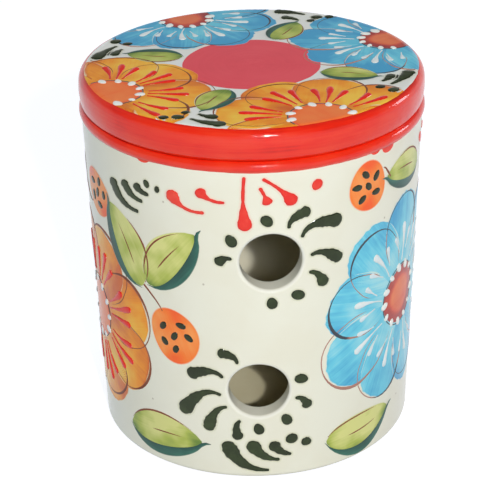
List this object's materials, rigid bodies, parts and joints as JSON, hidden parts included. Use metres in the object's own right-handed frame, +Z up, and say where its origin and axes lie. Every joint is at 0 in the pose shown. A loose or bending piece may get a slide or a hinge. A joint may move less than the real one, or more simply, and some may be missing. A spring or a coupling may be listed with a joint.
{
  "type": "garlic keeper",
  "caption": "Round glazed ceramic garlic keeper: a slightly tapered pot with staggered round air vents, a rolled red lip, and a flat lift-off lid.",
  "frame": {"origin": "centre of the pot's foot ring, on the surface it stands on", "axes": "+Z up along the pot's axis, -Y out of the front, through the lower air vent, +X to the right of someone facing the front"},
  "size_m": [0.1212, 0.1212, 0.1348],
  "materials": {
    "pot_glaze": "glossy cream glaze over pale clay, unglazed on the foot ring",
    "lid_glaze": "glossy white glaze with a red rim and a red disc in the middle",
    "red_enamel": "glossy red enamel",
    "orange_enamel": "brushed orange enamel under a clear gloss",
    "blue_enamel": "brushed light blue enamel under a clear gloss",
    "leaf_enamel": "brushed two-tone green enamel under a clear gloss",
    "dark_green_relief": "raised glossy dark green strokes",
    "white_relief": "raised glossy white dots",
    "brown_line": "thin brown outline"
  },
  "bodies": {
    "jar": {"jar": "pot_glaze"},
    "lid": {"lid": "lid_glaze"}
  },
  "joints": [
    {"name": "lid_lift", "type": "slide", "parent": "jar", "child": "lid", "axis": [0, 0, 1], "range_m": [0, 0.1]}
  ]
}
